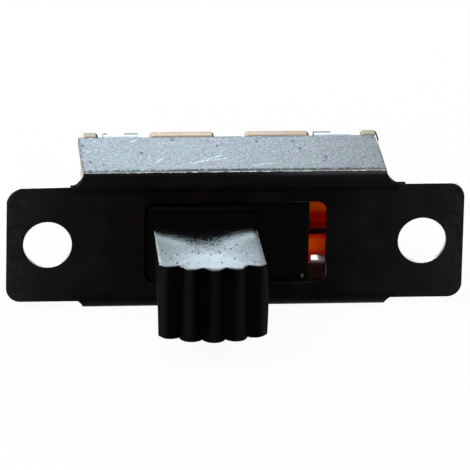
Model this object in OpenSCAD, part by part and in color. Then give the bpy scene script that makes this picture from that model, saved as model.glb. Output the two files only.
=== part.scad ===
// Slide switch with a folded steel frame, a ribbed knob and six solder terminals.
// X runs along the slide, Y points from the mounting face back to the terminals and Z is up.
// The origin is the middle of the mounting face, halfway between the two mounting holes.

/* [Frame] */
// Length over both mounting ears
frame_l = 34.9; // [33.6:0.1:44]
// Length of the folded channel
body_l = 23.1; // [21.8:0.1:26]
// Height over both side walls
body_h = 10.9; // [10.6:0.1:14]
// Depth from the mounting face to the back edge of the walls
frame_d = 9; // [8.4:0.1:12]
// Thickness of the steel sheet
sheet = 0.6; // [0.4:0.05:0.8]
// Inner radius of the two long folds
fold_r = 0.75; // [0.4:0.05:0.9]
// Height of the mounting ears
ear_h = 9.2; // [8:0.1:10]
// Radius of the ear corners
ear_corner_r = 1.1; // [0.5:0.1:3]
// Radius of the round relief where an ear meets the channel
relief_r = 1; // [0.5:0.05:1.1]
// How far the relief cuts into the ear's edge
relief_depth = 0.08; // [0.05:0.01:0.4]

/* [Mounting holes] */
// Distance between the hole centres
hole_spacing = 28.6; // [28:0.1:30]
// Diameter of each hole
hole_d = 3.7; // [3:0.1:4]

/* [Slot and travel] */
// Travel of the knob from one end to the other
travel = 5.2; // [4.6:0.1:5.4]
// Gap between the knob and each end of the slot, at the ends of the travel
slot_end_gap = 0.25; // [0.1:0.05:0.6]
// Gap above and below the knob in the slot
slot_side_gap = 0.4; // [0.2:0.05:0.6]
// Radius of the slot corners
slot_corner_r = 0.8; // [0.3:0.1:1.5]

/* [Clinch tabs] */
// Width of each tab
tab_w = 2.8; // [2:0.1:3.2]
// Distance of the upper tabs from the middle
tab_x_top = 8.2; // [7.6:0.1:8.8]
// Distance of the lower tabs from the middle
tab_x_bottom = 8.5; // [8:0.05:8.8]
// How far a tab reaches in over the board's back, from its own bend
tab_reach = 1.3; // [0.6:0.1:1.6]
// Inner radius of the tab's bend
tab_bend_r = 0.35; // [0.2:0.05:0.4]
// Radius of the corners at the tip of a tab
tab_corner_r = 0.5; // [0.2:0.1:1]

/* [Terminal board] */
// How far the board falls short of the channel at each end
board_end_gap = 0; // [0:0.05:0.5]
// Thickness of the board
board_t = 1.2; // [0.8:0.1:1.6]
// How far the board sits off the middle, within the play of its notches
board_shift = 0.25; // [0:0.05:0.3]
// Play beside a tab in its notch
notch_side = 0.6; // [0.4:0.05:0.8]
// Play inside the bend of a tab, at the bottom of its notch
notch_play = 0.05; // [0.02:0.01:0.3]
// Width of the locating notch in the middle of each long edge
centre_notch_w = 2.4; // [1.6:0.1:3]
// Depth of the locating notch
centre_notch_depth = 0.8; // [0.5:0.1:1]
// Radius of the board's corners
board_corner_r = 0.4; // [0.2:0.1:0.6]
// Gap around a lug in its slot in the board
lug_fit = 0.03; // [0.02:0.01:0.05]

/* [Terminals] */
// Thickness of the terminal brass
terminal_t = 0.5; // [0.4:0.05:0.6]
// Distance of each row from the middle
row_z = 1.9; // [1.7:0.05:2.2]
// Distance of the outer terminals from the middle one
terminal_pitch = 5.5; // [5.3:0.1:6]
// Gap between neighbouring contact blades
blade_gap = 1.2; // [1:0.1:1.6]
// Half length of the middle contact blade
centre_blade_half = 1.7; // [1.4:0.1:1.9]
// Height of a contact blade above the board
blade_h = 1.5; // [1.2:0.1:1.8]
// Width of a solder lug
lug_w = 2; // [1.8:0.1:2.2]
// Length of a solder lug behind the board
lug_l = 4.8; // [3:0.1:6]
// Diameter of the wire hole in a lug
lug_hole_d = 1.2; // [0.8:0.1:1.3]
// Length of the staking burr that locks a lug behind the board
burr_l = 0.3; // [0.2:0.05:0.4]
// Height of the staking burr on each side of a lug
burr_h = 0.2; // [0.1:0.05:0.3]

/* [Knob] */
// Length of the knob along the slide
knob_l = 8.2; // [7:0.1:8.6]
// Height of the knob
knob_h = 5.7; // [5:0.1:6]
// Reach of the knob in front of the mounting face
knob_out = 13.5; // [9:0.1:16]
// Radius of the arched end of the knob, over its ribs
crown_r = 6.8; // [6:0.1:12]
// Number of rounded ribs across the arched end
rib_count = 5; // [3:2:5]
// Distance between the ribs along the arch
rib_pitch = 1.93; // [1.8:0.01:2]
// Radius of each rib
rib_r = 1; // [0.9:0.05:1.1]
// How far the shoulders beside the end ribs lie below the ribs
shoulder_drop = 0.1; // [0.05:0.05:0.3]

/* [Carriage] */
// How far the carriage flange reaches past the knob at each end
flange_over = 4.2; // [3.2:0.05:4.3]
// Thickness of the flange
flange_t = 1.5; // [1:0.1:1.6]
// How far the carriage block is set back from each end of the flange
block_step = 2.1; // [0.5:0.05:2.3]
// Gap between the end of the block and the contact blades
block_blade_gap = 0.3; // [0.2:0.05:0.6]
// Running gap between the carriage and the frame
slide_gap = 0.1; // [0.05:0.01:0.15]

/* [Contact clips] */
// Length of each moving clip
clip_l = 4.6; // [4.2:0.1:5]
// Thickness of the clip strip
clip_t = 0.25; // [0.2:0.05:0.3]
// Width of a clip over its back
clip_w = 1.5; // [1.4:0.05:1.7]
// Depth inside the pocket at which the legs turn in towards the blade
leg_inset = 0.6; // [0.3:0.1:1]
// Distance from a blade's front edge to the pinch of the jaws
jaw_pinch = 0.65; // [0.5:0.05:0.7]
// Opening out of each jaw tip
jaw_flare = 0.25; // [0.1:0.05:0.3]
// Gap between the jaw tips and the board
jaw_tip_gap = 0.25; // [0.2:0.05:0.35]
// Gap between a clip's jaws and the blade on each side
jaw_gap = 0.03; // [0.02:0.01:0.06]
// Gap around a clip in its pocket
pocket_gap = 0.03; // [0.02:0.01:0.05]

/* [Detent] */
// Diameter of the detent ball
ball_d = 2; // [1.6:0.1:2.4]
// Gap around the ball in its bore
ball_gap = 0.05; // [0.03:0.01:0.08]
// Plastic between the bore and the front of the carriage
bore_front_wall = 1.15; // [0.8:0.05:1.4]
// Plastic between the bore and the backs of the clips
bore_back_wall = 1.05; // [0.8:0.05:1.2]
// Height of the bore's blind end over the middle
bore_end_z = 2; // [1:0.1:3]
// Gap between the ball and the flat of the lower wall
wall_clear = 0.03; // [0.02:0.01:0.05]
// Depth of the two dimples in the lower wall
dimple_depth = 0.15; // [0.1:0.01:0.25]
// Diameter of the spring wire
wire_d = 0.3; // [0.2:0.05:0.3]
// Gap around the spring in its bore
spring_gap = 0.15; // [0.1:0.01:0.2]
// Gap between the spring and what it seats on
spring_seat_gap = 0.02; // [0.01:0.01:0.05]
// Number of turns in the spring
spring_turns = 6; // [4:1:7]

/* [Hidden] */
$fn = 64;
slack = 1; // cutters run this far past the faces they cut

fold_out = fold_r + sheet; // outer radius of the long folds
wall_z = body_h / 2 - sheet; // inner face of each side wall
slot_l = knob_l + travel + 2 * slot_end_gap;
slot_h = knob_h + 2 * slot_side_gap;
slide_x = -travel / 2; // the knob rests at the left end of its travel

board_l = body_l - 2 * board_end_gap;
board_back_y = frame_d + board_t;
notch_w = tab_w + 2 * notch_side;
notch_depth = sheet + tab_bend_r + notch_play;

blade_front_y = frame_d - blade_h;
outer_blade_in = centre_blade_half + blade_gap;
outer_blade_half = terminal_pitch - outer_blade_in;

flange_l = knob_l + 2 * flange_over;
block_l = flange_l - 2 * block_step;
carriage_h = 2 * (wall_z - slide_gap);
carriage_y = sheet + slide_gap;
carriage_corner_r = fold_r - slide_gap;
block_back_y = blade_front_y - block_blade_gap;

ball_r = ball_d / 2;
ball_z = -(wall_z - ball_r - wall_clear);
bore_d = ball_d + 2 * ball_gap;
bore_y = carriage_y + bore_front_wall + bore_d / 2;
wire_r = wire_d / 2;
coil_r = bore_d / 2 - spring_gap - wire_r;
spring_low_z = ball_z + sqrt(pow(ball_r + wire_r + spring_seat_gap, 2) - pow(coil_r, 2));
spring_high_z = bore_end_z - wire_r - spring_seat_gap;

clip_back_y = bore_y + bore_d / 2 + bore_back_wall;
jaw_z = terminal_t / 2 + jaw_gap; // inner face of a jaw where it grips
jaw_pinch_y = blade_front_y + jaw_pinch;
jaw_tip_y = frame_d - jaw_tip_gap;

// Sets a drawing of depth and height along X, centred on the middle
module along_x(length) {
    translate([-length / 2, 0, 0]) rotate([90, 0, 90]) linear_extrude(length) children();
}

// Sets a drawing of X and height along Y, from one depth to another
module along_y(from_y, to_y) {
    translate([0, to_y, 0]) rotate([90, 0, 0]) linear_extrude(to_y - from_y) children();
}

// Sets a drawing of X and depth along Z, centred on one height
module along_z(height) {
    translate([0, 0, -height / 2]) linear_extrude(height) children();
}

module rounded_box(length, height, r) {
    square([length, height - 2 * r], center = true);
    square([length - 2 * r, height], center = true);
    for (x = [-1, 1], z = [-1, 1])
        translate([x * (length / 2 - r), z * (height / 2 - r)]) circle(r);
}

// Section of a channel whose two front corners are rounded
module channel_section(depth, height, r) {
    translate([r, -height / 2]) square([depth - r, height]);
    translate([0, r - height / 2]) square([depth, height - 2 * r]);
    for (z = [-1, 1]) translate([r, z * (height / 2 - r)]) circle(r);
}

module folded_section() {
    difference() {
        channel_section(frame_d, body_h, fold_out);
        translate([sheet, 0]) channel_section(frame_d, 2 * wall_z, fold_r);
    }
}

// Centre of the round relief in the upper right corner
relief_x = body_l / 2 + relief_r;
relief_z = ear_h / 2 + relief_r - relief_depth;

module relief_holes() {
    for (x = [-1, 1], z = [-1, 1]) translate([x * relief_x, z * relief_z]) circle(relief_r);
}

// The folded channel, with the short necks that curve out of its two folds
module channel() {
    along_x(body_l) folded_section();
    intersection() {
        along_x(2 * relief_x) folded_section();
        along_y(-slack, fold_out) difference() {
            square([2 * relief_x, 2 * relief_z], center = true);
            relief_holes();
        }
    }
}

module ear_plate() {
    along_y(0, sheet) difference() {
        rounded_box(frame_l, ear_h, ear_corner_r);
        relief_holes();
    }
}

// One clinch tab of the upper wall, bent in over the back of the board
module clinch_tab() {
    bend_out = tab_bend_r + sheet;
    bend_y = board_back_y - tab_bend_r;
    bend_z = wall_z - tab_bend_r;
    intersection() {
        along_x(tab_w) {
            translate([frame_d - slack, wall_z]) square([bend_y - frame_d + slack, sheet]);
            translate([board_back_y, bend_z - tab_reach]) square([sheet, tab_reach]);
            translate([bend_y, bend_z]) intersection() {
                difference() {
                    circle(bend_out);
                    circle(tab_bend_r);
                }
                square(bend_out);
            }
        }
        along_y(frame_d - slack, board_back_y + slack)
            translate([0, body_h / 2]) rounded_box(tab_w, 2 * (tab_reach + bend_out), tab_corner_r);
    }
}

module frame() {
    color("dimgray") difference() {
        union() {
            channel();
            ear_plate();
            for (x = [-1, 1]) {
                translate([x * tab_x_top, 0, 0]) clinch_tab();
                translate([x * tab_x_bottom, 0, 0]) mirror([0, 0, 1]) clinch_tab();
            }
        }
        for (x = [-1, 1]) translate([x * hole_spacing / 2, 0, 0]) along_y(-slack, slack) circle(hole_d / 2);
        along_y(-slack, slack) rounded_box(slot_l, slot_h, slot_corner_r);
        for (x = [-1, 1])
            translate([x * travel / 2, bore_y, ball_r - wall_z - dimple_depth]) sphere(ball_r);
    }
}

// X places of the lugs in one row, counted from the middle of the board
function lug_x(column) = column * terminal_pitch;

module terminal_board() {
    color("peru") translate([board_shift, 0, 0]) along_y(frame_d, board_back_y) difference() {
        rounded_box(board_l, body_h, board_corner_r);
        for (x = [-1, 1]) {
            translate([x * tab_x_top, body_h / 2]) square([notch_w, 2 * notch_depth], center = true);
            translate([x * tab_x_bottom, -body_h / 2]) square([notch_w, 2 * notch_depth], center = true);
        }
        for (z = [-1, 1])
            translate([0, z * body_h / 2]) square([centre_notch_w, 2 * centre_notch_depth], center = true);
        for (column = [-1:1], z = [-1, 1])
            translate([lug_x(column), z * row_z])
                square([lug_w + 2 * lug_fit, terminal_t + 2 * lug_fit], center = true);
    }
}

// One terminal: contact blade in front of the board, lug through it and staking burrs behind it
module terminal(column, row) {
    blade_half = column == 0 ? centre_blade_half : outer_blade_half;
    lug_round = lug_w / 2;
    tip_y = board_back_y + lug_l;
    color("goldenrod") translate([board_shift + lug_x(column), 0, row * row_z]) {
        along_z(terminal_t) difference() {
            union() {
                translate([-blade_half, blade_front_y]) square([2 * blade_half, blade_h]);
                translate([-lug_round, frame_d - slack / 2])
                    square([lug_w, tip_y - lug_round - frame_d + slack / 2]);
                translate([0, tip_y - lug_round]) circle(lug_round);
            }
            translate([0, tip_y - lug_round]) circle(lug_hole_d / 2);
        }
        translate([0, board_back_y + burr_l / 2, 0])
            cube([lug_w / 2, burr_l, terminal_t + 2 * burr_h], center = true);
    }
}

// Angle between neighbouring ribs, and of the end ribs, about the centre of the arch
rib_turn = rib_pitch / crown_r * 180 / PI;
end_turn = (rib_count - 1) / 2 * rib_turn;

// Arched end of the knob about its own centre: a core, the ribs on it and two plain shoulders
module ribbed_crown() {
    shoulder_reach = 2 * crown_r;
    circle(crown_r - rib_r);
    for (i = [0:rib_count - 1])
        rotate(i * rib_turn - end_turn) translate([0, rib_r - crown_r]) circle(rib_r);
    intersection() {
        circle(crown_r - shoulder_drop);
        for (side = [-1, 1])
            polygon([[0, 0], [side * shoulder_reach, 0],
                     shoulder_reach * [side * sin(end_turn), -cos(end_turn)]]);
    }
}

// Plan of the knob: straight sides and the ribbed end
module knob_plan() {
    centre_y = crown_r - knob_out;
    root_y = carriage_y + flange_t / 2;
    intersection() {
        translate([-knob_l / 2, -knob_out - slack]) square([knob_l, knob_out + slack + root_y]);
        union() {
            translate([0, centre_y]) ribbed_crown();
            translate([-knob_l, centre_y]) square([2 * knob_l, root_y + slack - centre_y]);
        }
    }
}

module clip_pocket() {
    pocket_y = clip_back_y - pocket_gap;
    mouth_y = block_back_y + slack;
    along_y(pocket_y, mouth_y) square([clip_l + 2 * pocket_gap, clip_w + 2 * pocket_gap], center = true);
}

module slider() {
    color("black") translate([slide_x, 0, 0]) difference() {
        union() {
            along_z(knob_h) knob_plan();
            along_x(flange_l) translate([carriage_y, 0])
                channel_section(flange_t, carriage_h, carriage_corner_r);
            along_x(block_l) translate([carriage_y, 0])
                channel_section(block_back_y - carriage_y, carriage_h, carriage_corner_r);
        }
        for (z = [-1, 1]) translate([0, 0, z * row_z]) clip_pocket();
        translate([0, bore_y, -body_h / 2]) cylinder(h = bore_end_z + body_h / 2, d = bore_d);
    }
}

// Section of a clip: flat back, two legs, pinched jaws and flared tips
module clip_section() {
    back = clip_w / 2;
    leg_end_y = block_back_y - leg_inset;
    upper_half = [
        [clip_back_y, back], [leg_end_y, back],
        [jaw_pinch_y, jaw_z + clip_t], [jaw_tip_y, jaw_z + clip_t + jaw_flare],
        [jaw_tip_y, jaw_z + jaw_flare], [jaw_pinch_y, jaw_z],
        [leg_end_y, back - clip_t], [clip_back_y + clip_t, back - clip_t]
    ];
    last = len(upper_half) - 1;
    lower_half = [for (i = [last:-1:0]) [upper_half[i][0], -upper_half[i][1]]];
    polygon(concat(upper_half, lower_half));
}

module contact_clip(row) {
    color("khaki") translate([slide_x, 0, row * row_z]) along_x(clip_l) clip_section();
}

module detent_ball() {
    color("silver") translate([slide_x, bore_y, ball_z]) sphere(ball_r);
}

// Points of one ring of the spring wire, at an angle along the helix
ring_sides = 6;
turn_steps = 16;
spring_steps = spring_turns * turn_steps;
function helix_z(i) = spring_low_z + (spring_high_z - spring_low_z) * i / spring_steps;
function wire_ring(i) = [
    for (k = [0:ring_sides - 1])
        let (turn = 360 * i / turn_steps, side = 360 * k / ring_sides, r = coil_r + wire_r * cos(side))
        [r * cos(turn), r * sin(turn), helix_z(i) + wire_r * sin(side)]
];

module detent_spring() {
    points = [for (i = [0:spring_steps]) each wire_ring(i)];
    last = spring_steps * ring_sides;
    sides = [
        for (i = [0:spring_steps - 1], k = [0:ring_sides - 1])
            let (a = i * ring_sides + k, b = i * ring_sides + (k + 1) % ring_sides)
            [a, b, b + ring_sides, a + ring_sides]
    ];
    start_cap = [[for (k = [ring_sides - 1:-1:0]) k]];
    end_cap = [[for (k = [0:ring_sides - 1]) last + k]];
    color("silver") translate([slide_x, bore_y, 0])
        polyhedron(points, concat(sides, start_cap, end_cap));
}

frame();
terminal_board();
terminal(-1, 1);  // terminal_1
terminal(0, 1);  // terminal_2
terminal(1, 1);  // terminal_3
terminal(-1, -1);  // terminal_4
terminal(0, -1);  // terminal_5
terminal(1, -1);  // terminal_6
slider();
contact_clip(1);  // contact_clip_top
contact_clip(-1);  // contact_clip_bottom
detent_ball();
detent_spring();
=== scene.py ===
import math

import bmesh
import bpy
from mathutils import Matrix, Vector


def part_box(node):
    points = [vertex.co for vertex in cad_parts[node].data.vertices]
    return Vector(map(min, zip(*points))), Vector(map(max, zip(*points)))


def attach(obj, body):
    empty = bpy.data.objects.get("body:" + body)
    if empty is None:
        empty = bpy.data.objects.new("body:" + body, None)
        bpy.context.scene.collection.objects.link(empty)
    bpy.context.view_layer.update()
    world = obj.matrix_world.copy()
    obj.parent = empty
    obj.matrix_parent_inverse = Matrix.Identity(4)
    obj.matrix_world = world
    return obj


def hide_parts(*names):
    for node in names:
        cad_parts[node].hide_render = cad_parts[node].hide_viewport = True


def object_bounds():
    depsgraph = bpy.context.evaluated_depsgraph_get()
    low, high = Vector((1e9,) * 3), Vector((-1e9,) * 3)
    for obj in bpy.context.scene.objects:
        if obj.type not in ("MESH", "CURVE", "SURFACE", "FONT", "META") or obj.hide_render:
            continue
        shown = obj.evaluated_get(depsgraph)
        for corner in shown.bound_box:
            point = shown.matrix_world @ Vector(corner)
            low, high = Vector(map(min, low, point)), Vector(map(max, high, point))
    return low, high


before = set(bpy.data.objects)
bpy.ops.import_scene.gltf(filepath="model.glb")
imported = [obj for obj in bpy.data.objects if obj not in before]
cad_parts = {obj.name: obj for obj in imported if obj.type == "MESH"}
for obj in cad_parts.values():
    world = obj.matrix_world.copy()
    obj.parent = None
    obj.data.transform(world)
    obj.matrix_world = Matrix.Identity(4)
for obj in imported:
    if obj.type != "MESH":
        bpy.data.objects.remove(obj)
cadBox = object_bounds()
scene = bpy.context.scene
scene.view_settings.view_transform = "Standard"
mm = 0.001
print("frame loaded:", len(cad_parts), "nodes")

cameraView = {
    "azimuth": -5.07,      # degrees round from straight in front, to the left
    "elevation": 20.3,
    "roll": 1.07,
    "distance": 0.38075,
    "lens": 383.5,
    "aim": (-0.00004, 0, 0.00065),   # from the middle of the mounting face
}


def placeCamera(view):
    turn, rise, roll = (math.radians(view[k]) for k in ("azimuth", "elevation", "roll"))
    back = Vector((math.sin(turn) * math.cos(rise), -math.cos(turn) * math.cos(rise), math.sin(rise)))
    level = Vector((0, 0, 1)).cross(back).normalized()
    upright = back.cross(level)
    right = level * math.cos(roll) + upright * math.sin(roll)
    up = upright * math.cos(roll) - level * math.sin(roll)
    camera = bpy.data.objects.new("camera", bpy.data.cameras.new("camera"))
    scene.collection.objects.link(camera)
    camera.data.lens = view["lens"]
    camera.data.clip_start, camera.data.clip_end = 0.01, 10
    turned = Matrix((right, up, back)).transposed()
    place = Vector(view["aim"]) + back * view["distance"]
    camera.matrix_world = Matrix.Translation(place) @ turned.to_4x4()
    scene.camera = camera


placeCamera(cameraView)


# A socket that Python arithmetic can use: every operator adds one Math node
class Wire:
    def __init__(self, finish, socket):
        self.finish = finish
        self.socket = socket

    def calc(self, operation, *values):
        return self.finish.node("ShaderNodeMath", {"operation": operation}, dict(enumerate(values)))

    def __add__(self, other):
        return self.calc("ADD", self, other)

    def __radd__(self, other):
        return self.calc("ADD", other, self)

    def __sub__(self, other):
        return self.calc("SUBTRACT", self, other)

    def __rsub__(self, other):
        return self.calc("SUBTRACT", other, self)

    def __mul__(self, other):
        return self.calc("MULTIPLY", self, other)

    def __rmul__(self, other):
        return self.calc("MULTIPLY", other, self)

    def __pow__(self, other):
        return self.calc("POWER", self, other)

    def __rpow__(self, other):
        return self.calc("POWER", other, self)

    def __abs__(self):
        return self.calc("ABSOLUTE", self)

    def atMost(self, other):
        return self.calc("MINIMUM", self, other)

    def atLeast(self, other):
        return self.calc("MAXIMUM", self, other)

    # 0 below the first value and 1 above the second, with a soft step between
    def step(self, low, high):
        return self.finish.node("ShaderNodeMapRange", {"interpolation_type": "SMOOTHSTEP"},
                                {"Value": self, "From Min": low, "From Max": high})

    # 1 at the given value, falling to 0 at the given distance from it
    def near(self, value, reach):
        return 1 - abs(self - value).step(0, reach)

    # 1 between two values, with soft ends of the given width outside them
    def between(self, low, high, soft):
        return self.step(low - soft, low) * (1 - self.step(high, high + soft))


def largest(wires):
    found = wires[0]
    for wire in wires[1:]:
        found = found.atLeast(wire)
    return found


# A material or a world that is put together node by node
class Finish:
    def __init__(self, name, shelf="materials"):
        self.owner = getattr(bpy.data, shelf).new(name)
        self.owner.use_nodes = True
        self.tree = self.owner.node_tree
        self.tree.nodes.clear()

    def node(self, kind, settings=None, inputs=None, output=0):
        made = self.tree.nodes.new(kind)
        for key, value in (settings or {}).items():
            setattr(made, key, value)
        for key, value in (inputs or {}).items():
            if isinstance(value, Wire):
                self.tree.links.new(value.socket, made.inputs[key])
            else:
                made.inputs[key].default_value = value
        return Wire(self, made.outputs[output]) if made.outputs else made

    # Place on the piece in millimetres, as one vector and as x, y and z
    def place(self):
        metres = self.node("ShaderNodeTexCoord", output="Object")
        spot = self.node("ShaderNodeVectorMath", {"operation": "SCALE"}, {0: metres, "Scale": 1 / mm})
        return (spot, *(self.node("ShaderNodeSeparateXYZ", inputs={0: spot}, output=i) for i in range(3)))

    # Way that the surface faces, as x, y and z between -1 and 1
    def facing(self):
        way = self.node("ShaderNodeTexCoord", output="Normal")
        return [self.node("ShaderNodeSeparateXYZ", inputs={0: way}, output=i) for i in range(3)]

    def stretched(self, spot, scale, turn=0.0):
        return self.node("ShaderNodeMapping", {"vector_type": "POINT"},
                         {"Vector": spot, "Scale": scale, "Rotation": (0, 0, turn)})

    def noise(self, spot, scale, detail=2.0, roughness=0.5):
        return self.node("ShaderNodeTexNoise", inputs={
            "Vector": spot, "Scale": scale, "Detail": detail, "Roughness": roughness})

    # Round specks: 1 in the middle of each, with the given radius as a share of their spacing
    def specks(self, spot, spacing, radius):
        reach = self.node("ShaderNodeTexVoronoi", {"feature": "F1"},
                          {"Vector": spot, "Scale": 1 / spacing})
        return 1 - reach.step(radius * 0.5, radius)

    # A thin scratch from one point to another, in two of the piece's axes
    def scratch(self, across, along, start, end, width):
        run = Vector(end) - Vector(start)
        length = run.length
        ux, uy = run / length
        reach = (across - start[0]) * ux + (along - start[1]) * uy
        off = (across - start[0]) * uy - (along - start[1]) * ux
        fade = 0.15
        return off.near(0, width) * reach.between(fade * length, (1 - fade) * length, fade * length)

    def mixed(self, share, first, second, blend="MIX"):
        return self.node("ShaderNodeMix", {"data_type": "RGBA", "blend_type": blend},
                         {0: share, 6: first, 7: second}, output=2)

    def shaded(self, tint, level):
        return self.mixed(1.0, tint, level, "MULTIPLY")

    def bumped(self, height, distance, strength=1.0):
        return self.node("ShaderNodeBump", inputs={
            "Height": height, "Distance": distance, "Strength": strength})

    def surface(self, **inputs):
        return self.node("ShaderNodeBsdfPrincipled", inputs=inputs)

    def show(self, shader, kind="Material"):
        self.node("ShaderNodeOutput" + kind, inputs={"Surface": shader})
        return self.owner


# A colour given as the usual 0 to 255 values
def colour(*levels):
    return (*(((c / 255 + 0.055) / 1.055) ** 2.4 if c > 10 else c / 255 / 12.92 for c in levels), 1)


# A CAD node's mesh with its corners joined and its flat triangles merged
def workpiece(node):
    shape = bmesh.new()
    shape.from_mesh(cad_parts[node].data)
    bmesh.ops.remove_doubles(shape, verts=shape.verts, dist=1e-7)
    bmesh.ops.dissolve_limit(shape, angle_limit=math.radians(0.5), verts=shape.verts, edges=shape.edges)
    return shape


# True where two faces meet at more than the given number of degrees
def isSharp(edge, least=30):
    return len(edge.link_faces) == 2 and edge.calc_face_angle(0) > math.radians(least)


def roundEdges(shape, edges, radius, segments=2):
    bmesh.ops.bevel(shape, geom=edges, offset=radius, offset_type="OFFSET", segments=segments,
                    profile=0.5, affect="EDGES", clamp_overlap=True)


# Turns a shape into the piece that shows instead of a CAD node
def standIn(shape, name, node, body, slot, *finishes):
    mesh = bpy.data.meshes.new(name)
    shape.to_mesh(mesh)
    shape.free()
    mesh.shade_smooth()
    for finish in finishes:
        mesh.materials.append(finish)
    piece = bpy.data.objects.new(name, mesh)
    scene.collection.objects.link(piece)
    piece.modifiers.new("even faces", "WEIGHTED_NORMAL").keep_sharp = True
    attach(piece, body)
    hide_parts(node)


frameLook = {
    "paint": colour(4, 3, 4),
    "paintBrown": colour(13, 8, 9),
    "paintLitTowardEnds": colour(22, 21, 22),   # painted light: paint drawn greyer towards the ends of the ears, darker in the middle
    "thinPaintAndSheen": colour(46, 46, 48),   # grey of the bend line and the tab smudges, and painted sheen on the right half of the folds
    "dust": colour(40, 41, 44),
    "rubAndGlint": colour(70, 68, 66),         # thin paint and painted highlights along the punched edges
    "zinc": colour(107, 112, 112),
    "zincPale": colour(180, 184, 186),
    "zincDark": colour(62, 64, 66),
    "zincViolet": colour(122, 104, 122),
    # dirt in the dents, and painted shade inside the channel and along the ends and the back edge
    "grimeAndShade": colour(30, 27, 30),
    "shear": colour(132, 126, 116),
    # bare cut steel, also used for painted highlights on the folds, the tabs and inside the channel
    "freshCutAndGlint": colour(246, 246, 246),
    "paintEnds": (0.94, 1.02),         # depths on the folds between which the paint thins out, mm
    "bendMark": 1.36,                  # depth of the line where the fold starts, mm
    "tabMarks": [(-9.55, -9.3), (-7.9, -6.9), (6.8, 8.1)],      # dark stretches along the top tabs, mm
    "notchPaint": [(-12.55, -11.5), (11.5, 12.9)],              # thin paint in the notches, mm
    "slotGlints": {"right": (-2.6, -1.9), "top": (4.3, 5.5)},     # painted highlights on the slot's rim, mm
    # soft steps from one finish to the next, off the middle of the part or behind its face, mm
    "slotSide": (9, 9.3),
    "slotEdge": (3.9, 4.1),
    "foldStart": (4.0, 4.1),
    "foldSide": (12.2, 12.5),
    "innerFace": (5.0, 5.2),
    "endEdge": (11.38, 11.5),
    "backEdge": (8.85, 9.05),
    "dustyEars": (14.5, 17.6),
    "frontRadius": 0.10 * mm,          # rolled edge that the punch leaves in front
    "backRadius": 0.04 * mm,
    "faceDepth": 0.7,                  # what is nearer than this belongs to the face, mm
    "earHalf": 4.6,
    "bodyHalf": 11.55,
    "notchZone": (0.12, 2),            # most depth and width of the notches beside the folds, mm
    "notchShare": 0.8,                 # their new width, as a share of the drawn one
    "tabDepth": 9.3,                   # what is further back than this belongs to the tabs, mm
    # where the inner side of the lower right tab lies, and how far it moves, mm
    "tabEase": {"side": (7.0, 7.2), "depth": 8.98, "below": -4.4, "shift": 0.34},
    "cornerRadius": 1.5 * mm,          # the upper left ear corner is rounder than the others
    "scratches": [((-3.6, 2.45), (-0.4, 4.95), 0.24), ((-2.6, 3.3), (-0.2, 4.0), 0.20),
                  ((-7.6, 7.9), (-7.0, 8.5), 0.20), ((-5.9, 3.1), (-5.3, 4.2), 0.22),
                  ((4.9, 5.3), (6.6, 6.9), 0.14), ((6.0, 2.2), (6.2, 3.4), 0.08),
                  ((1.2, 2.2), (3.4, 2.9), 0.20)],
    "dents": [(-6.88, 5.35), (-10.9, 3.4), (-11.3, 7.1), (-4.3, 8.4), (5.4, 6.0), (7.2, 4.0)],
}


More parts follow.
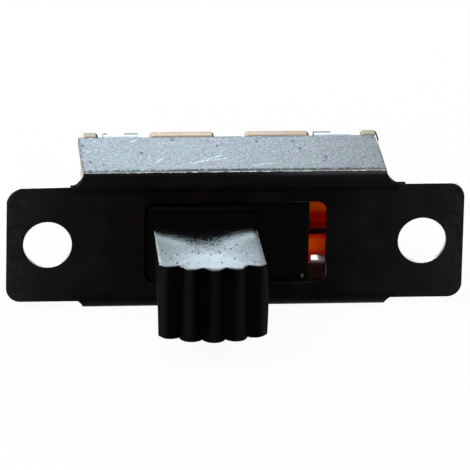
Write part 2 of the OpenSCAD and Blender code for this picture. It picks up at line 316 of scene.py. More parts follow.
def frameFinish(look, tabs):
    f = Finish("frame_finish")
    spot, x, y, z = f.place()
    _, ny, nz = f.facing()
    wall = abs(nz).step(0.9, 0.99)
    # paint covers the front and ends on the folds with a ragged line; punched edges and backs are bare
    ragged = f.noise(f.stretched(spot, (1, 0.3, 1)), 2.5, 4) - 0.5
    slot = (1 - abs(x).step(*look["slotSide"])) * (1 - abs(z).step(*look["slotEdge"]))
    punched = (1 - abs(ny).step(0.3, 0.5)) * y.between(0.1, 0.7, 0.03) * (1 - slot)
    fold = (y + ragged * 0.2).step(*look["paintEnds"])
    notch = largest([x.between(low, high, 0.05) for low, high in look["notchPaint"]])
    notch = notch * (1 - y.step(0.8, 0.9)) * abs(z).between(4.4, 5.2, 0.1)
    bare = fold.atLeast(punched * (1 - notch)).atLeast(ny.step(0.4, 0.7))
    paint = 1 - bare
    # rolled zinc: fine mottling, long streaks, violet patches, specks, scratches and small dents
    grain = f.noise(f.stretched(spot, (0.6, 0.6, 1)), 7.5, 5, 0.85)
    blotch = f.noise(f.stretched(spot, (0.6, 1, 1)), 1.1, 3)
    streak = f.noise(f.stretched(spot, (0.35, 5, 1)), 1.6, 3)
    violet = f.noise(f.stretched(spot, (0.6, 0.8, 1)), 0.75, 4, 0.6).step(0.44, 0.62)
    zinc = f.mixed(violet * 0.5, look["zinc"], look["zincViolet"])
    zinc = f.mixed(grain.step(0.48, 0.68) * 0.72, zinc, look["zincPale"])
    zinc = f.mixed((1 - grain.step(0.32, 0.52)) * 0.82, zinc, look["zincDark"])
    tone = 0.62 + blotch * 0.42 + streak * 0.34
    zinc = f.shaded(zinc, tone)
    scratched = largest([f.scratch(x, y, *line) for line in look["scratches"]])
    scratched = scratched * f.noise(spot, 6, 2).step(0.35, 0.6) * wall * z.step(*look["innerFace"])
    pits = f.specks(f.stretched(spot, (1, 0.42, 1)), 1.1, 0.11)
    for place in look["dents"]:
        off = abs(x - place[0]) + abs(y - place[1]) * 0.45
        pits = pits.atLeast(1 - off.step(0.05, 0.28))
    pits = pits * wall
    zinc = f.mixed(scratched * 0.8, zinc, look["zincPale"])
    zinc = f.mixed(pits, zinc, look["grimeAndShade"])
    # painted shade on the inner faces of the walls, and a painted highlight on their back part
    inside = wall * (1 - abs(z).step(*look["innerFace"]))
    zinc = f.mixed(inside * 0.9 * (1 - y.step(7.6, 8.9)), zinc, look["grimeAndShade"])
    zinc = f.mixed(inside * y.step(8.2, 9.0), zinc, look["freshCutAndGlint"])
    # painted highlight: a bright stretch of the fold above the paint, broken in places, and a broken dark
    # line where the fold starts
    glintBreaks = f.noise(f.stretched(spot, (1, 0.2, 0.2)), 3.2, 4, 0.7).step(0.4, 0.62) * 0.75 + 0.2
    zinc = f.mixed(y.between(*look["paintEnds"], 0.1) * glintBreaks, zinc, look["freshCutAndGlint"])
    zinc = f.shaded(zinc, 1 - y.between(0.98, 1.14, 0.1) * (0.95 - glintBreaks) * 0.45)
    broken = (f.noise(f.stretched(spot, (1, 0.1, 0.1)), 5.0, 4, 0.8) - abs(x) * 0.008).step(0.38, 0.46)
    mark = y.near(look["bendMark"], 0.34) * broken
    # painted shade: dark lines along the ends and the back edge, but for the tabs; painted highlights: a
    # bright line at the right end and on the tab bends, brighter on the right tab
    onTab = 0
    for low, high in tabs:
        onTab = x.between(low, high, 0.05) + onTab
    backEdge = y.between(*look["backEdge"], 0.06) * (1 - onTab)
    backEdge = backEdge * f.noise(spot, 1.3, 3).step(0.4, 0.5)
    ends = abs(x).step(*look["endEdge"]) * wall * f.noise(spot, 1.6, 3).step(0.36, 0.5)
    paintedGlint = x.step(11.47, 11.52) * y.step(7.0, 7.4)
    zinc = f.mixed(backEdge.atLeast(ends * (1 - paintedGlint)) * 0.85, zinc, look["grimeAndShade"])
    zinc = f.mixed(mark, zinc, look["thinPaintAndSheen"])
    paintedGlint = paintedGlint.atLeast(onTab * y.step(8.9, 9.6) * (0.45 + x.step(-1, 1) * 0.25))
    zinc = f.mixed(paintedGlint, zinc, look["freshCutAndGlint"])
    for low, high in look["tabMarks"]:
        smudge = x.between(low, high, 0.1) * y.step(9.6, 9.7) * z.step(4, 4.2)
        zinc = f.mixed(smudge * 0.9, zinc, look["thinPaintAndSheen"])
    # cut edges of the sheet: bright round the folds and the front, duller along the walls
    cut = (1 - abs(ny).step(0.3, 0.5)) * y.step(0.1, 0.13) * (1 - wall * y.step(0.7, 0.75))
    shear = f.mixed(y.step(1.6, 2.4), look["freshCutAndGlint"], look["shear"])
    shear = f.shaded(shear, 0.85 + f.noise(f.stretched(spot, (3, 1, 3)), 2, 3) * 0.3)
    zinc = f.mixed(cut, zinc, shear)
    # black paint: brown drift, painted shade darker in the middle and greyer towards the ear ends, dust
    # towards the ear ends, thin paint and painted highlights on punched edges, painted sheen and shade on
    # the folds
    drift = f.noise(spot, 0.35, 3)
    black = f.mixed(drift.step(0.4, 0.65), look["paint"], look["paintBrown"])
    # painted shade: the paint is drawn darker in the middle and greyer towards the ear ends
    black = f.mixed(abs(x).step(6, 17) * (0.35 + drift), black, look["paintLitTowardEnds"])
    # painted sheen: a grey band on the right half of the folds, below the paint's edge
    thin = x.step(1, 7) * y.between(0.72, 1.0, 0.2) * abs(z).step(4.3, 4.7)
    black = f.mixed(thin, black, look["thinPaintAndSheen"])
    dusty = abs(x).step(*look["dustyEars"]) * f.noise(spot, 1.6, 4).step(0.35, 0.75)
    black = f.mixed(dusty * 0.5, black, look["dust"])
    black = f.mixed(f.specks(spot, 0.7, 0.07) * 0.35, black, look["dust"])
    folded = abs(z).step(*look["foldStart"]) * (1 - abs(x).step(*look["foldSide"]))
    # thin paint and painted highlights on the rounded front edges
    rim = (0 - ny).step(0.25, 0.5) * (1 - (0 - ny).step(0.9, 0.98)) * (1 - folded)
    black = f.mixed(rim * f.noise(spot, 3, 3).step(0.42, 0.6) * 0.35, black, look["rubAndGlint"])
    # painted highlights on the slot's right and upper rim
    paintedEdgeGlint = z.between(*look["slotGlints"]["right"], 0.3) * x.between(6.7, 7.2, 0.2)
    paintedGlintTop = z.step(3.0, 3.1) * (1 - z.step(3.4, 3.5)) * x.between(*look["slotGlints"]["top"], 0.3)
    paintedEdgeGlint = paintedEdgeGlint.atLeast(paintedGlintTop * 0.6)
    black = f.mixed(rim * paintedEdgeGlint * 0.24, black, look["zincPale"])
    # painted shade: the paint is drawn darker on the folds
    black = f.shaded(black, 1 - folded * (1 - y.step(0.55, 0.8)) * 0.5)
    tint = f.mixed(bare, black, zinc)
    # gloss: satin paint that shines along the top of the folds
    sheen = abs(nz).step(0.62, 0.92) * folded * paint * (1 - notch) * (0.1 + (x + y * 4).step(1, 8) * 0.9)
    rough = 0.34 + f.noise(spot, 2.5, 3) * 0.16 + paint * 0.16 + mark * 0.2 + inside * 0.3
    relief = grain * 0.5 + streak * 0.5 + pits * -1.5 + scratched * -0.5
    normal = f.bumped(relief, 0.006 * mm, 0.6)
    shader = f.surface(**{
        "Base Color": tint, "Metallic": bare, "Roughness": rough, "Normal": normal,
        "Specular IOR Level": 0.03, "Coat Weight": sheen * 0.15, "Coat Roughness": 0.25})
    return f.show(shader)


# Pulls the upper outer corner of the left ear in to a rounder arc
def roundCorner(shape, left, look):
    radius = look["cornerRadius"]
    ear = max(v.co.z for v in shape.verts if v.co.x < left + radius)
    middle = Vector((left + radius, ear - radius))
    for vert in shape.verts:
        off = Vector((vert.co.x, vert.co.z)) - middle
        if off.x < 0 < off.y and vert.co.y < look["faceDepth"] * mm and off.length > radius:
            off *= radius / off.length
            vert.co.x, vert.co.z = middle + off


# Makes the notches beside the folds shallower and narrower, and one lower tab narrower
def easeNotches(shape, look):
    ear, body, tab = look["earHalf"], look["bodyHalf"], look["tabEase"]
    deep, wide = look["notchZone"]
    low, high = tab["side"]
    for vert in shape.verts:
        x, y, z = vert.co / mm
        if abs(z) > ear - deep and body < abs(x) < body + wide and y < look["faceDepth"]:
            vert.co.x = math.copysign(body + (abs(x) - body) * look["notchShare"], x) * mm
            vert.co.z = math.copysign(max(abs(z), ear), z) * mm
        if y > tab["depth"] and z < tab["below"] and low < x < high:
            vert.co.x += tab["shift"] * mm


def makeFrame(look):
    shape = workpiece("frame")
    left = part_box("frame")[0].x
    # stretches of the upper tabs, left and right of the middle
    behind = [v.co.x / mm for v in shape.verts if v.co.y > look["tabDepth"] * mm and v.co.z > 0]
    sides = [x for x in behind if x < 0], [x for x in behind if x > 0]
    tabs = [(min(side), max(side)) for side in sides]
    roundCorner(shape, left, look)
    easeNotches(shape, look)
    sharp = [e for e in shape.edges if isSharp(e)]
    front = [e for e in sharp if all(v.co.y < 0.01 * mm for v in e.verts)]
    roundEdges(shape, front, look["frontRadius"])
    sharp = [e for e in shape.edges if isSharp(e, 50)]
    roundEdges(shape, sharp, look["backRadius"])
    standIn(shape, "frame_folded", "frame", "housing", "frame_steel", frameFinish(look, tabs))


makeFrame(frameLook)
print("frame made")

sliderLook = {
    "plastic": colour(6, 6, 7),
    # painted light and shade on the reeded end: lighter crests, darker grooves
    "litCrest": colour(17, 17, 18),
    "shadedGroove": colour(1, 1, 1),
    "fluff": colour(60, 60, 64),
    # pale colour of the painted highlights on the knob's side edges, and of the flange's light speck
    "paleSpeckAndGlint": colour(196, 196, 198),
    "radius": 0.09 * mm,
    "ribPitch": 1.93,
    "ribDepth": 1.6,               # how far back the reeded end reaches, mm
    "crown": (6.8, 1.0, 5),        # radii of the reeded end, of one rib and of the core that stays, mm
    # valleys between the ribs: rounded above, with their depth in mm and narrowness, and deepened below
    "valley": {"depth": 0.56, "narrow": 1.25, "below": 1.2},
    "rubbed": (-0.5, 8.2),         # off the knob's middle, and in front of the mounting face, mm
    "rubbedReach": (0.5, 1.7),
    "handledFrom": (7.8, 10.2),    # where the duller, handled end starts, mm
    "dustyFrom": (7.6, 8.6),
    "dustSpot": (0.03, 0.15),      # radii of a dust speck's middle and rim, mm
    "hairTurns": (0.35, 1.1, 1.9, 2.6),     # directions of the hair marks, radians
    "specks": [(-3.6, 8.7), (-2.55, 9.75), (-3.1, 10.6), (-2.7, 11.6), (-1.4, 9.2), (-1.0, 9.6),
               (-0.1, 10.0), (0.57, 9.2), (1.5, 8.6), (2.0, 7.6), (1.6, 10.9), (3.06, 11.5), (0.6, 11.7)],
    "fleck": (5.24, -2.98),        # a light speck on the flange, mm
    "peel": 0.010 * mm,            # height of the orange peel
    "rough": {"plain": 0.055, "handled": 0.04, "haze": 0.07, "left": 0.19, "right": 0.16,
              "grain": 0.09, "dust": 0.32},
    "relief": {"peel": 0.45, "grit": 0.28, "hairs": 0.8, "dust": 0.1, "grain": 0.05},
    # sink in the knob's top and bottom, for its middle and its sides: depth, and where it starts and ends
    # in front of the mounting face, mm
    "sink": (0.156, 0.147),
    "sinkStart": (-0.5, 1.64),
    "sinkEnd": (10.13, 13.4),
    "sinkMiddle": -0.57,           # off the middle of the knob, mm
    "sinkPower": 1.26,
    "sinkRim": (0.5, 0.9),         # shares of the half height between which the flanks start to sink
    # how much narrower the knob is at its bottom and top, and how much more near the frame, mm
    "draft": {"left": (0.01, 0.03), "right": (0.05, 0.20)},
    "waist": {"left": (0.45, 0.12), "right": (0.06, 0.06)},
    "waistEnds": (5.0, 12.5),      # the taper to that waist, in front of the mounting face, mm
    "columns": 16,
    "rows": 20,
    "levels": 6,
}


# Distance from the nearest crest of the reeded end, mm
def fromCrest(f, x, look, knob):
    return f.node("ShaderNodeMath", {"operation": "PINGPONG"},
                  {0: x - knob["middle"], 1: look["ribPitch"] / 2})


# Polished top and bottom of the knob: an orange peel, dust specks and hair marks round a rubbed place
def polishedFinish(look, knob):
    f = Finish("slider_polished")
    spot, x, y, _ = f.place()
    nx = f.facing()[0]
    fromMiddle = x - knob["middle"]
    across, ahead = look["rubbed"]
    off = (((fromMiddle - across) * 0.8) ** 2 + ((y + ahead) * 0.7) ** 2) ** 0.5
    rubbed = 1 - off.step(*look["rubbedReach"])
    hairs = largest([f.noise(f.stretched(spot, (5, 0.5, 1), turn), 1.7, 2, 0.6).step(0.54, 0.6)
                     for turn in look["hairTurns"]])
    # the rubbed place reaches back in a V, deepest a little to the left of the middle
    front = 0 - y + abs(fromMiddle + 0.3) * 0.82
    handled = front.step(*look["handledFrom"])
    flat = f.stretched(spot, (1, 0.38, 1))
    dust = f.specks(flat, 0.34, 0.24) * f.noise(flat, 1.6, 2).step(0.48, 0.62)
    for across, ahead in look["specks"]:
        off = abs(fromMiddle - across) + abs(y + ahead) * 0.4
        dust = dust.atLeast(1 - off.step(*look["dustSpot"]))
    dust = dust * front.step(*look["dustyFrom"])
    haze = f.noise(spot, 0.7, 3)
    grain = f.noise(flat, 6.0, 3, 0.8).step(0.35, 0.7)
    left = 1 - fromMiddle.step(-4.2, 0)
    right = fromMiddle.step(0.2, 4.1)
    part = look["rough"]
    rough = part["handled"] + haze * part["haze"] + left * part["left"] + right * part["right"]
    rough = part["plain"] + (rough + grain * part["grain"]) * handled + dust * part["dust"]
    tint = f.mixed(dust * 0.3, look["plastic"], look["fluff"])
    # painted highlight: pale lines along the knob's rounded side edges, stronger on the left
    paintedEdgeGlint = abs(nx).between(0.2, 0.8, 0.1) * (0 - y).step(4.4, 5.0) * f.noise(spot, 2.5, 2).step(0.3, 0.5)
    tint = f.mixed(paintedEdgeGlint * (0.45 + left * 0.55), tint, look["paleSpeckAndGlint"])
    part = look["relief"]
    grit = f.noise(flat, 8.0, 3, 0.8) * front.between(6.9, 9.2, 0.9)
    relief = f.noise(flat, 4.6, 4, 0.8) * part["peel"] + grit * part["grit"]
    relief = relief + hairs * rubbed * part["hairs"] + dust * part["dust"] + grain * part["grain"]
    return f.show(f.surface(**{
        "Base Color": tint, "Roughness": rough.atMost(0.95), "IOR": 1.7,
        "Normal": f.bumped(relief, look["peel"], 1.0)}))


# Matt moulding: painted light and shade on the reeded end, lighter crests and darker grooves, darker
# towards the middle; plain black elsewhere
def mouldedFinish(look, knob):
    f = Finish("slider_moulded")
    spot, x, y, z = f.place()
    grit = f.noise(spot, 7, 3)
    drawn = f.noise(f.stretched(spot, (5, 1, 0.5)), 1.4, 3)
    litCrest = f.mixed(fromCrest(f, x, look, knob).step(0.08, 0.55), look["litCrest"], look["shadedGroove"])
    # painted shade: the crests are drawn darker towards the middle ribs
    litCrest = f.shaded(litCrest, (0.6 + drawn * 0.8) * (0.45 + abs(x - knob["middle"]).step(0.6, 3.7) * 0.6))
    tint = f.mixed((0 - y).step(knob["reeded"] - 0.4, knob["reeded"]), look["plastic"], litCrest)
    speck = ((x - look["fleck"][0]) ** 2 + ((z - look["fleck"][1]) * 0.6) ** 2) ** 0.5
    tint = f.mixed((1 - speck.step(0.02, 0.15)) * y.step(0, 0.2) * 0.2, tint, look["paleSpeckAndGlint"])
    normal = f.bumped(grit * 0.4 + drawn * 0.6, 0.01 * mm, 0.5)
    return f.show(f.surface(**{
        "Base Color": tint, "Roughness": 0.5 + grit * 0.2, "Normal": normal, "Specular IOR Level": 0.02}))


# How far a height is up the knob, 0 at its bottom and 1 at its top
def upKnob(z, knob):
    return z / knob["half"] * 0.5 + 0.5


# Moves a point of the reeded end back: the valleys between the ribs become round above and deep below
def roundValley(x, y, z, look, knob):
    big, small, core = look["crown"]
    turn = look["ribPitch"] / big
    right, ahead = x - knob["middle"], big - knob["out"] - y
    away, angle = math.hypot(right, ahead), math.atan2(right, ahead)
    if ahead < 0 or abs(angle) > 2 * turn or away < core:
        return x, y
    offset = angle - round(angle / turn) * turn
    hub = big - small
    now = hub * math.cos(offset) + math.sqrt(small ** 2 - (hub * math.sin(offset)) ** 2)
    valley = look["valley"]
    sharp = (big - now) * valley["below"]
    soft = valley["depth"] * ((1 - math.cos(2 * math.pi * offset / turn)) / 2) ** valley["narrow"]
    then = big - sharp - (soft - sharp) * upKnob(z, knob)
    kept = 1 - max(now - then, 0) * (away - core) / (now - core) / away
    return knob["middle"] + right * kept, y + ahead * (1 - kept)


# Share of the way from one value to another, no less than 0 and no more than 1
def share(value, low, high):
    return min(max((value - low) / (high - low), 0), 1)


# Cuts the knob into a grid
def cutKnob(shape, look, knob):
    columns, rows, levels = look["columns"], look["rows"], look["levels"]
    width = knob["right"] - knob["left"]
    cuts = [((knob["left"] + width * i / columns, 0, 0), (1, 0, 0)) for i in range(1, columns)]
    cuts += [((0, -knob["out"] * i / rows, 0), (0, 1, 0)) for i in range(1, rows)]
    cuts += [((0, 0, knob["half"] * (2 * i / levels - 1)), (0, 0, 1)) for i in range(1, levels)]
    for place, way in cuts:
        ahead = {face for face in shape.faces if min(v.co.y for v in face.verts) < -0.5 * mm}
        ahead |= {part for face in ahead for part in (*face.edges, *face.verts)}
        bmesh.ops.bisect_plane(shape, geom=list(ahead), plane_co=Vector(place) * mm, plane_no=way,
                               dist=1e-7)


# Gives the knob its sink marks above and below, its drafted flanks and its waist
def shapeKnob(shape, look, knob):
    reach = (knob["right"] - knob["left"]) / 2
    for vert in shape.verts:
        x, y, z = vert.co / mm
        if y > -0.05:
            continue
        u = (x - knob["middle"]) / reach
        side = min(abs(x - knob["middle"] - look["sinkMiddle"]) / reach, 1) ** look["sinkPower"]
        sink = look["sink"], look["sinkStart"], look["sinkEnd"]
        depth, start, end = (a + (b - a) * side for a, b in sink)
        sunk = depth * math.sin(math.pi * share(-y, start, end))
        sunk *= share(abs(z) / knob["half"], *look["sinkRim"])
        flank = "left" if u < 0 else "right"
        thin, wide = look["waistEnds"]
        low, high = look["waist"][flank]
        waist = low + (high - low) * upKnob(z, knob)
        draft = look["draft"][flank][0 if z < 0 else 1] * (z / knob["half"]) ** 2
        pinch = draft * min(-y / 2, 1) + waist * share(-y, wide, thin)
        x, y = roundValley(x, y, z, look, knob)
        vert.co = Vector((x - u * pinch, y, z - math.copysign(sunk, z))) * mm


def makeSlider(look):
    shape = workpiece("slider")
    ahead = [v.co / mm for v in shape.verts if v.co.y < -1 * mm]
    knob = {
        "left": min(c.x for c in ahead), "right": max(c.x for c in ahead),
        "out": -min(c.y for c in ahead), "half": max(c.z for c in ahead),
    }
    knob["middle"] = (knob["left"] + knob["right"]) / 2
    knob["reeded"] = knob["out"] - look["ribDepth"]
    sharp = [e for e in shape.edges if isSharp(e) and e.is_convex]
    roundEdges(shape, sharp, look["radius"], 3)
    cutKnob(shape, look, knob)
    shapeKnob(shape, look, knob)
    for face in shape.faces:
        level = abs(face.normal.z) > 0.35 and face.normal.y > -0.3
        if level and face.calc_center_median().y < -0.02 * mm:
            face.material_index = 1        # polished
    standIn(shape, "slider_moulding", "slider", "carriage", "slider_plastic",
            mouldedFinish(look, knob), polishedFinish(look, knob))


makeSlider(sliderLook)
print("slider made")

boardLook = {
    "laminate": colour(196, 120, 52),
    "laminateDark": colour(160, 84, 30),
    "laminateRed": colour(110, 14, 8),
    "glow": (1.0, 0.36, 0.04, 1),
    "glowRed": (1.0, 0.04, 0.012, 1),
    "edge": colour(252, 238, 222),
    "edgeDark": colour(206, 176, 152),
    "edgeOlive": colour(200, 195, 172),
    "edgeRim": colour(140, 116, 92),
    # painted shade on the right end of the board and its right-facing cut edges
    "edgeShaded": colour(44, 36, 30),
    "fibre": colour(255, 250, 240),
    "radius": 0.05 * mm,
    "cornerRadius": 0.3 * mm,
    "layer": 0.2,                  # thickness of one paper layer, mm
    # soft steps from one colour to the next, off the middle of the part, mm
    "shadedUpperPart": (-2.0, -1.2),     # painted shade: above this the board is drawn darker and lets less light through
    "rowStain": (1.2, 2.5),        # red stain round the rows of terminals
    "paleEnd": (10.8, 11.0),
    # painted shade beyond this, on the right end
    "shadedEnd": (11.2, 11.4),
    "oliveEdge": (9.5, 9.8),
}


def boardFinish(look):
    f = Finish("board_finish")
    spot, x, y, z = f.place()
    nx, ny, _ = f.facing()
    cut = 1 - abs(ny).step(0.5, 0.8)
    fibre = f.noise(f.stretched(spot, (1, 6, 6)), 1.6, 4, 0.65)
    cloud = f.noise(spot, 0.8, 4)
    face = f.mixed(cloud.step(0.35, 0.7), look["laminate"], look["laminateDark"])
    weave = f.noise(f.stretched(spot, (3, 1, 0.4)), 3.5, 3).step(0.58, 0.75)
    face = f.mixed(weave * 0.3, face, look["edge"])
    stain = abs(z).between(*look["rowStain"], 0.9).atLeast(abs(z).step(3.7, 4.4) * 0.8)
    stain = (stain + (cloud - 0.5) * 0.3) * (1 - ny.step(0.2, 0.6) * 0.8)
    face = f.mixed(stain * 0.9, face, look["laminateRed"])
    shadedUpper = z.step(*look["shadedUpperPart"]) * (1 - ny.step(0.2, 0.6))
    # painted shade: the upper part of the board is drawn darker
    face = f.shaded(face, 1.2 - shadedUpper * 0.7)
    # pale left end, and painted shade on the right end
    face = f.mixed((0 - x).step(*look["paleEnd"]), face, look["fibre"])
    face = f.mixed(x.step(*look["shadedEnd"]), face, look["edgeShaded"])
    # cut edges show the paper layers and torn fibres
    depth = y + f.noise(spot, 1.2, 3) * 0.35
    wave = f.node("ShaderNodeMath", {"operation": "SINE"}, {0: depth * (2 * math.pi / look["layer"])})
    layers = (wave * 0.5 + 0.5) * 0.35 + fibre * 0.65
    edge = f.mixed(layers.step(0.35, 0.6), look["edgeDark"], look["edge"])
    edge = f.mixed(fibre.step(0.55, 0.7) * 0.7, edge, look["fibre"])
    edge = f.mixed(abs(x).step(*look["oliveEdge"]) * 0.8, edge, look["edgeOlive"])
    rim = (1 - y.step(9.15, 9.5)).atLeast(y.step(9.9, 10.15) * fibre.step(0.35, 0.55))
    edge = f.mixed(rim * 0.85, edge, look["edgeRim"])
    edge = f.shaded(edge, 1.03 - x.step(1, 5) * 0.13)
    edge = f.mixed((0 - x).step(11.0, 11.2), edge, look["fibre"])
    edge = f.mixed(x.step(3, 8) * (1 - x.step(*look["oliveEdge"])) * 0.7, edge, look["edgeDark"])
    # painted shade on the right-facing cut edges and the right end
    edge = f.mixed(nx.step(0.2, 0.6).atLeast(x.step(11.5, 11.65)), edge, look["edgeShaded"])
    tint = f.mixed(cut, face, edge)
    normal = f.bumped(fibre * 0.6 + cloud * 0.2 + layers * cut, 0.02 * mm, 0.5)
    solid = f.surface(**{
        "Base Color": tint, "Roughness": 0.42 + cut * 0.35 + fibre * 0.1, "Normal": normal,
        "Specular IOR Level": 0.12})
    glow = f.node("ShaderNodeBsdfTranslucent", inputs={"Color": look["glow"], "Normal": normal})
    ember = f.node("ShaderNodeBsdfTranslucent", inputs={"Color": look["glowRed"], "Normal": normal})
    glow = f.node("ShaderNodeMixShader", inputs={0: stain.step(0.1, 0.8), 1: glow, 2: ember})
    lit = (0.86 - stain * 0.36) * (1 - shadedUpper * 0.36) * (1 - abs(x).step(10.2, 10.8))
    return f.show(f.node("ShaderNodeMixShader", inputs={0: lit * (1 - cut), 1: solid, 2: glow}))


def makeBoard(look):
    shape = workpiece("terminal_board")
    top = max(v.co.z for v in shape.verts)
    nearly = 0.01 * mm
    corners = [e for e in shape.edges if isSharp(e) and e.is_convex
               and all(v.co.z > top - nearly for v in e.verts)
               and abs(e.verts[0].co.x - e.verts[1].co.x) < nearly]
    roundEdges(shape, corners, look["cornerRadius"], 4)
    roundEdges(shape, [e for e in shape.edges if isSharp(e)], look["radius"])
    standIn(shape, "board_punched", "terminal_board", "housing", "board_laminate", boardFinish(look))


makeBoard(boardLook)
print("board made")

terminalLook = {
    # painted shade: the blades' brass is drawn dark, in the shade in front of the board
    "brass": colour(66, 36, 20),
    "brassTop": colour(190, 92, 74),   # flats, reddened by the board's light
    "tin": colour(190, 186, 174),
    "tarnish": colour(112, 82, 44),
    "radius": 0.05 * mm,
}


def terminalFinish(look):
    f = Finish("terminal_finish")
    spot, _, y, _ = f.place()
    nz = f.facing()[2]
    cloud = f.noise(spot, 1.1, 4)
    streak = f.noise(f.stretched(spot, (6, 0.6, 6)), 1.8, 3)
    # hot tin covers the lug behind the board and thins towards the blade
    tinned = (y + (cloud - 0.5) * 1.6).step(9.4, 10.8)
    # painted light: the flats show the board's red light, the sides are painted shade
    tint = f.mixed(nz.step(0.5, 0.9), look["brass"], look["brassTop"])
    tint = f.mixed(tinned, tint, look["tin"])
    tint = f.mixed(cloud.step(0.52, 0.72) * tinned * 0.4, tint, look["tarnish"])
    tint = f.shaded(tint, 0.85 + streak * 0.3)
    normal = f.bumped(streak * 0.4 + cloud * 0.6, 0.02 * mm, 0.5)
    return f.show(f.surface(**{
        "Base Color": tint, "Metallic": 1.0, "Roughness": 0.26 + cloud * 0.2 + streak * 0.1,
        "Normal": normal}))


def makeTerminals(look):
    finish = terminalFinish(look)
    for number in range(1, 7):
        shape = workpiece(f"terminal_{number}")
        roundEdges(shape, [e for e in shape.edges if isSharp(e)], look["radius"])
        standIn(shape, f"terminal_stamping_{number}", f"terminal_{number}", "housing", "terminal_brass",
                finish)


makeTerminals(terminalLook)
print("terminals made")

clipLook = {
    "bronze": colour(205, 150, 96),
    "stain": colour(140, 86, 50),
    "radius": 0.03 * mm,
}


def clipFinish(look):
    f = Finish("clip_finish")
    spot = f.place()[0]
    streak = f.noise(f.stretched(spot, (0.5, 8, 8)), 2.5, 3)
    cloud = f.noise(spot, 1.5, 3)
    tint = f.mixed(cloud.step(0.45, 0.7) * 0.7, look["bronze"], look["stain"])
    tint = f.shaded(tint, 0.85 + streak * 0.3)
    normal = f.bumped(streak, 0.01 * mm, 0.5)
    return f.show(f.surface(**{
        "Base Color": tint, "Metallic": 1.0, "Roughness": 0.25 + streak * 0.15, "Normal": normal}))


def makeClips(look):
    finish = clipFinish(look)
    for place in ("top", "bottom"):
        shape = workpiece(f"contact_clip_{place}")
        roundEdges(shape, [e for e in shape.edges if isSharp(e, 60)], look["radius"])
        standIn(shape, f"clip_strip_{place}", f"contact_clip_{place}", "carriage", "clip_bronze", finish)


makeClips(clipLook)
print("clips made")

detentLook = {
    "steel": colour(190, 192, 196),
    "dull": colour(120, 122, 128),
    "wireTurns": 6,
    "wireRadius": 0.15 * mm,
    "wireSides": 12,
    "stepsPerTurn": 40,
}


def detentFinish(look):
    f = Finish("detent_finish")
    spot = f.place()[0]
    cloud = f.noise(spot, 2.5, 4)
    drawn = f.noise(f.stretched(spot, (2, 2, 14)), 3, 3)
    tint = f.mixed(cloud.step(0.45, 0.75) * 0.6, look["steel"], look["dull"])
    normal = f.bumped(drawn, 0.004 * mm, 0.4)
    return f.show(f.surface(**{
        "Base Color": tint, "Metallic": 1.0, "Roughness": 0.12 + cloud * 0.2, "Normal": normal}))


# Ball as a sphere of even faces
def makeBall(finish):
    low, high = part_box("detent_ball")
    ball = bmesh.new()
    bmesh.ops.create_icosphere(ball, subdivisions=5, radius=(high.x - low.x) / 2)
    bmesh.ops.translate(ball, verts=ball.verts, vec=(low + high) / 2)
    standIn(ball, "ball_ground", "detent_ball", "carriage", "detent_steel", finish)


# Spring as a smooth wound wire with flat ends
def makeSpring(look, finish):
    low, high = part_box("detent_spring")
    middle = (low + high) / 2
    spring = bmesh.new()
    wire = look["wireRadius"]
    coil = (high.x - low.x) / 2 - wire
    steps = look["wireTurns"] * look["stepsPerTurn"]
    rings = []
    for i in range(steps + 1):
        turn = 2 * math.pi * i / look["stepsPerTurn"]
        rise = low.z + wire + (high.z - low.z - 2 * wire) * i / steps
        ring = []
        for k in range(look["wireSides"]):
            side = 2 * math.pi * k / look["wireSides"]
            reach = coil + wire * math.cos(side)
            place = (middle.x + reach * math.cos(turn), middle.y + reach * math.sin(turn),
                     rise + wire * math.sin(side))
            ring.append(spring.verts.new(place))
        rings.append(ring)
    for ring, nextRing in zip(rings, rings[1:]):
        for k in range(look["wireSides"]):
            m = (k + 1) % look["wireSides"]
            spring.faces.new((ring[k], ring[m], nextRing[m], nextRing[k]))
    spring.faces.new(rings[0][::-1])
    spring.faces.new(rings[-1])
    standIn(spring, "spring_wound", "detent_spring", "carriage", "detent_steel", finish)


steelFinish = detentFinish(detentLook)
makeBall(steelFinish)
makeSpring(detentLook, steelFinish)
print("ball and spring made")

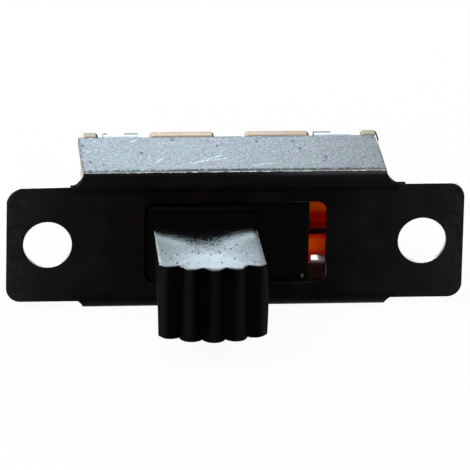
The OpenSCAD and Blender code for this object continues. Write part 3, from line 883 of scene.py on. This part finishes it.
studio = {
    "floorSize": 3.0,
    "floorAlbedo": (0.92, 0.92, 0.92, 1),
    "glow": 0.95,            # share of the floor that shows as plain white
    "fill": 0.5,
    "key": {"place": (-0.25, -0.45, 0.6), "aim": (0, 0, 0), "size": (0.5, 0.5), "brightness": 5.5},
    "back": {"place": (-0.022, 0.151, 0.060), "aim": (0, 0, 0.004), "size": (0.10, 0.06),
             "brightness": 3.6, "tint": (0.67, 0.87, 1.0)},
}


# 1 for the rays that look at the white background, straight or in a mirror
def isSeen(f):
    rays = ("Is Camera Ray", "Is Glossy Ray", "Is Transmission Ray")
    return largest([f.node("ShaderNodeLightPath", output=ray) for ray in rays])


def makeFloor(look):
    f = Finish("floor_finish")
    paper = f.node("ShaderNodeBsdfDiffuse", inputs={"Color": look["floorAlbedo"]})
    light = f.node("ShaderNodeEmission", inputs={"Strength": 1.0})
    shader = f.node("ShaderNodeMixShader", inputs={0: isSeen(f) * look["glow"], 1: paper, 2: light})
    half = look["floorSize"] / 2
    mesh = bpy.data.meshes.new("floor")
    mesh.from_pydata([(-half, -half, 0), (half, -half, 0), (half, half, 0), (-half, half, 0)], [],
                     [(0, 1, 2, 3)])
    mesh.materials.append(f.show(shader))
    floor = bpy.data.objects.new("floor", mesh)
    floor.location.z = cadBox[0].z
    scene.collection.objects.link(floor)


def makeWorld(look):
    f = Finish("studio", "worlds")
    strength = look["fill"] + isSeen(f) * (1 - look["fill"])
    scene.world = f.show(f.node("ShaderNodeBackground", inputs={"Strength": strength}), "World")


# A rectangular lamp whose face has the given brightness, aimed at a point
def addLamp(name, place, aim, size, brightness, tint=(1, 1, 1)):
    lamp = bpy.data.lights.new(name, "AREA")
    lamp.shape = "RECTANGLE"
    lamp.size, lamp.size_y = size
    lamp.energy = brightness * math.pi * size[0] * size[1]
    lamp.color = tint
    holder = bpy.data.objects.new(name, lamp)
    scene.collection.objects.link(holder)
    holder.location = place
    holder.rotation_euler = (Vector(aim) - Vector(place)).to_track_quat("-Z", "Y").to_euler()
    holder.visible_camera = False


makeFloor(studio)
makeWorld(studio)
addLamp("key", **studio["key"])
addLamp("back", **studio["back"])
print("floor and lights made")
